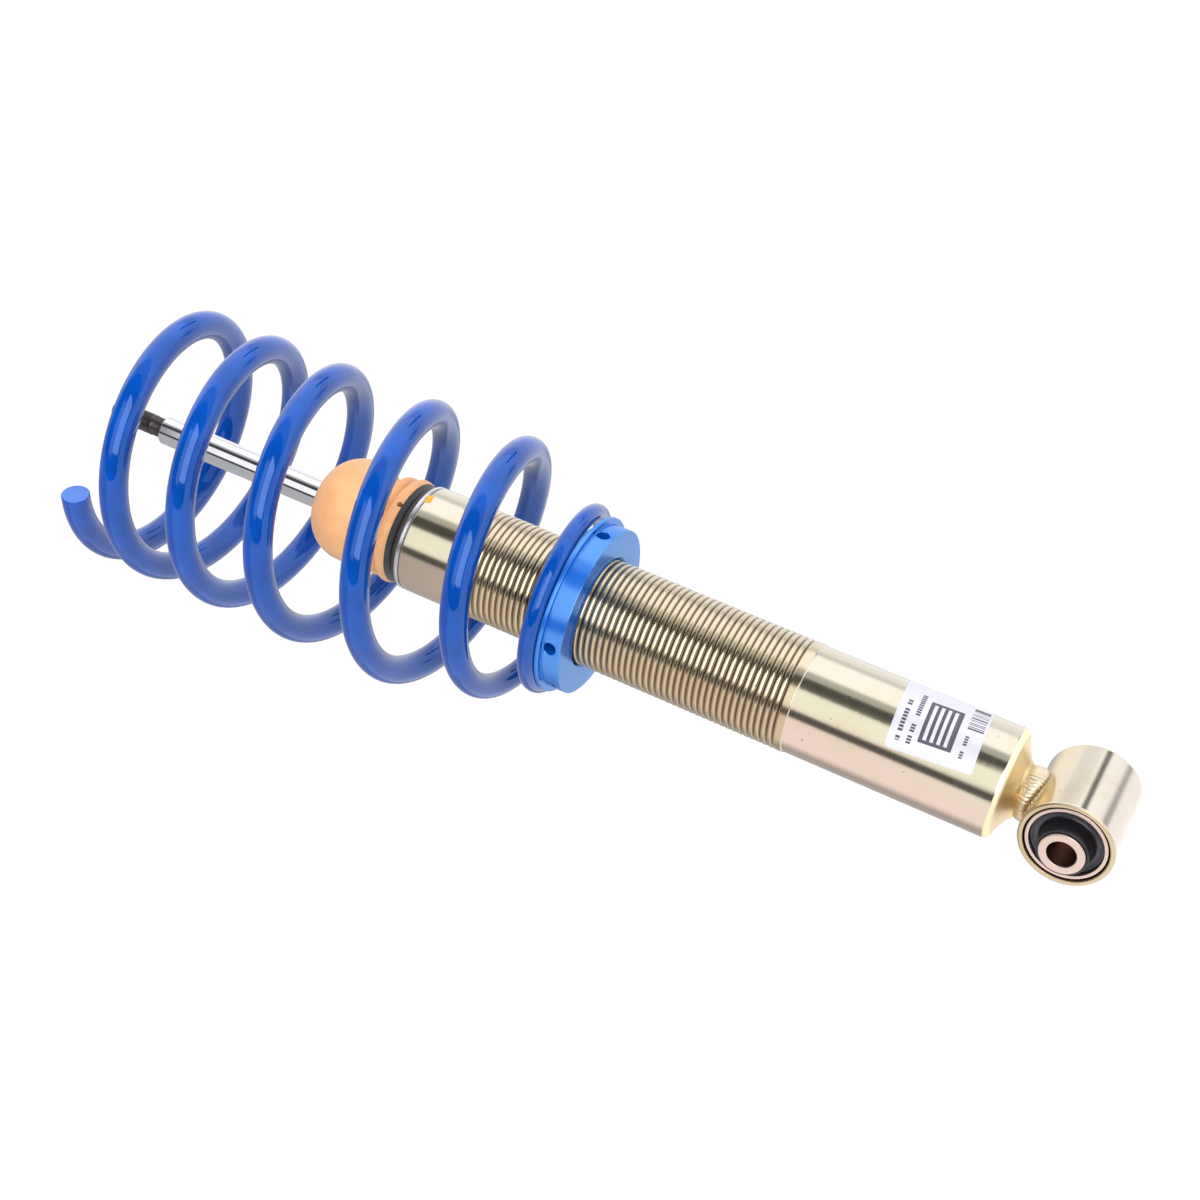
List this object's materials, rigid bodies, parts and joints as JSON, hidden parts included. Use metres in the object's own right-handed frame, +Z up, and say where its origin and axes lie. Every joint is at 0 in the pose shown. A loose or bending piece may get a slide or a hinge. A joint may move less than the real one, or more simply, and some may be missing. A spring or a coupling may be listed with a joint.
{
  "type": "strut assembly",
  "caption": "Threaded-body rear coilover strut: coil spring on an adjustable collar, twin-tube damper with chromed rod and bump stop, and a rubber-bushed lower eye.",
  "frame": {"origin": "centre of the lower eye, on its bolt axis", "axes": "+Z up the strut's axis, from the eye to the piston rod; Y along the eye's bolt; the printed side of the body tube towards +X and -Y"},
  "size_m": [0.1311, 0.1312, 0.5187],
  "materials": {
    "zinc_gold": "yellow zinc plating, satin, faintly iridescent",
    "zinc_pink": "yellow zinc plating with a pink cast, machined",
    "weld": "ropy weld bead under zinc plating",
    "closure_steel": "bright rolled closure",
    "rod_chrome": "hard chrome, ground",
    "spring_blue": "gloss powder coat",
    "collar_blue": "blue anodised, fine turned",
    "rubber": "moulded, matt",
    "stop_foam": "cellular polyurethane, satin skin",
    "plastic_dark": "black",
    "label_film": "silvery film, blank",
    "bronze": "sintered bearing lining",
    "steel": "machined"
  },
  "bodies": {
    "axle_sleeve": {"inner_sleeve": "zinc_pink"},
    "damper_body": {"eye_ring": "zinc_gold", "bush_outer_sleeve": "zinc_pink", "rubber_bush": "rubber", "eye_neck": "zinc_gold", "neck_weld": "weld", "outer_tube": "zinc_gold", "label": "label_film", "base_valve": "steel", "base_valve_shims": "steel", "base_valve_bolt": "steel", "pressure_tube": "steel", "rod_guide": "steel", "guide_bushing": "bronze", "rod_seal": "rubber", "closure_ring": "closure_steel"},
    "piston_ring": {"piston_band": "plastic_dark"},
    "rod": {"piston_rod": "rod_chrome", "piston": "steel", "rebound_shims": "steel", "compression_shims": "steel", "piston_nut": "steel", "rebound_stop": "stop_foam"},
    "stop": {"bump_stop": "stop_foam", "bump_stop_seat": "plastic_dark"},
    "spring": {"coil_spring": "spring_blue"},
    "collar": {"spring_collar": "collar_blue", "lock_screw": "steel"}
  },
  "joints": [
    {"name": "bush_twist", "type": "hinge", "parent": "axle_sleeve", "child": "damper_body", "pos_m": [0, 0, 0], "axis": [0, 1, 0], "range_deg": [-15, 15], "stiffness_Nm_per_rad": 95},
    {"name": "rod_stroke", "type": "slide", "parent": "damper_body", "child": "piston_ring", "axis": [0, 0, 1], "range_m": [-0.115, 0], "stiffness_N_per_m": 400, "springref_m": 0.5},
    {"name": "rod_spin", "type": "hinge", "parent": "piston_ring", "child": "rod", "pos_m": [0, 0, 0.2671], "axis": [0, 0, 1], "continuous": true},
    {"name": "stop_slide", "type": "slide", "parent": "damper_body", "child": "stop", "axis": [0, 0, 1], "range_m": [0, 0.085]},
    {"name": "perch_travel", "type": "slide", "parent": "damper_body", "child": "spring", "axis": [0, 0, 1], "range_m": [-0.0952, 0.0452]},
    {"name": "collar_turn", "type": "hinge", "parent": "spring", "child": "collar", "pos_m": [0, 0, 0.2332], "axis": [0, 0, 1], "range_deg": [-11400, 5400]}
  ],
  "couplings": [
    {"joint": "perch_travel", "follows": "collar_turn", "m_per_rad": 0.00047746}
  ]
}
